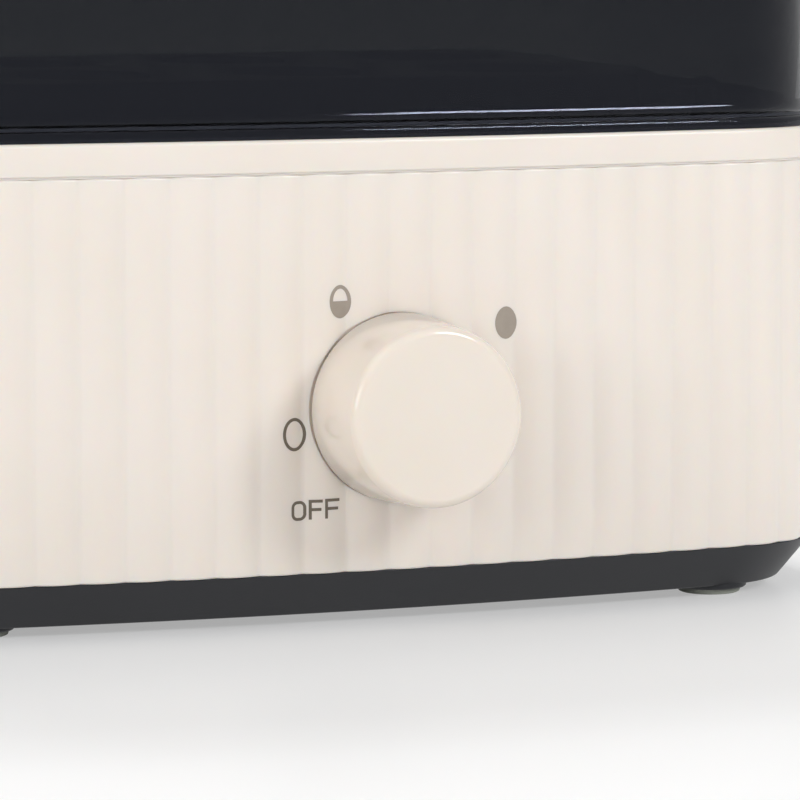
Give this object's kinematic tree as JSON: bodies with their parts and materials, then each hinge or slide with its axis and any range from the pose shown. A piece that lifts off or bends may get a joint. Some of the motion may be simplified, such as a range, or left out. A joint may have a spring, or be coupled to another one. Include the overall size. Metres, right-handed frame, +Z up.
{
  "type": "electric egg cooker",
  "caption": "Oblong ribbed housing with a rotary control knob, a smooth rim, a water pan, a raised egg tray, a smoked stepped lid with an arch handle, and a tapered base on rubber feet.",
  "frame": {"origin": "bottom centre of the bounding box, on the surface that the feet stand on; the housing's own middle lies 9.05 mm behind it, because the knob reaches further forward than the cord gland reaches back", "axes": "+X across the front, to the right when the knob faces the viewer; -Y the way the knob faces; +Z up"},
  "size_m": [0.214, 0.1686, 0.1763],
  "materials": {
    "cream_gloss_plastic": "moulded, gloss",
    "dark_matte_plastic": "moulded, satin",
    "smoked_clear_plastic": "moulded, smoked, polished",
    "tray_plastic": "moulded, satin",
    "stainless_steel": "drawn, satin",
    "zinc_plated_steel": "zinc plated",
    "cast_aluminium": "as cast",
    "element_sheath": "annealed",
    "brass": "plain",
    "ceramic": "glazed ceramic",
    "phenolic": "moulded phenolic",
    "nylon_white": "moulded nylon",
    "black_plastic": "moulded",
    "foot_rubber": "moulded rubber",
    "silicone": "moulded silicone",
    "lead_live": "silicone insulation",
    "lead_switched": "silicone insulation",
    "lead_neutral": "silicone insulation",
    "lead_earth": "silicone insulation"
  },
  "bodies": {
    "housing": {"fluted_shell": "cream_gloss_plastic", "top_frame": "cream_gloss_plastic", "heating_pan": "stainless_steel", "pan_seal": "silicone", "pan_studs": "stainless_steel", "heat_plate": "cast_aluminium", "heating_element": "element_sheath", "element_terminals": "brass", "thermostat": "ceramic", "thermostat_bracket": "zinc_plated_steel", "thermostat_screws": "zinc_plated_steel", "thermal_fuse": "nylon_white", "fuse_clip": "zinc_plated_steel", "heat_shield": "zinc_plated_steel", "stud_spacers": "zinc_plated_steel", "pan_nuts": "zinc_plated_steel", "frame_screws": "zinc_plated_steel", "base_plate": "dark_matte_plastic", "base_screws": "zinc_plated_steel", "rubber_feet": "foot_rubber", "control_body": "phenolic", "control_bracket": "zinc_plated_steel", "control_bush": "zinc_plated_steel", "control_nut": "zinc_plated_steel", "control_screws": "zinc_plated_steel", "control_terminals": "brass", "buzzer": "black_plastic", "terminal_block": "nylon_white", "terminal_screws": "brass", "cord_gland": "foot_rubber", "live_lead": "lead_live", "switched_lead": "lead_switched", "neutral_lead": "lead_neutral", "earth_lead": "lead_earth"},
    "knob": {"knob_cap": "cream_gloss_plastic", "knob_core": "black_plastic", "knob_clip": "zinc_plated_steel", "control_shaft": "zinc_plated_steel"},
    "lid": {"lid_shell": "smoked_clear_plastic", "lid_handle": "cream_gloss_plastic", "handle_screws": "stainless_steel", "handle_washers": "silicone"},
    "tray": {"egg_tray": "tray_plastic"}
  },
  "joints": [
    {"name": "knob_turn", "type": "hinge", "parent": "housing", "child": "knob", "pos_m": [0.002, -0.06395, 0.042], "axis": [0, 1, 0], "range_deg": [0, 193.3]},
    {"name": "lid_lift", "type": "slide", "parent": "housing", "child": "lid", "axis": [0, 0, 1], "range_m": [0, 0.14]},
    {"name": "tray_lift", "type": "slide", "parent": "housing", "child": "tray", "axis": [0, 0, 1], "range_m": [0, 0.063]}
  ],
  "couplings": [
    {"joint": "tray_lift", "follows": "lid_lift", "ratio": 0.45}
  ]
}
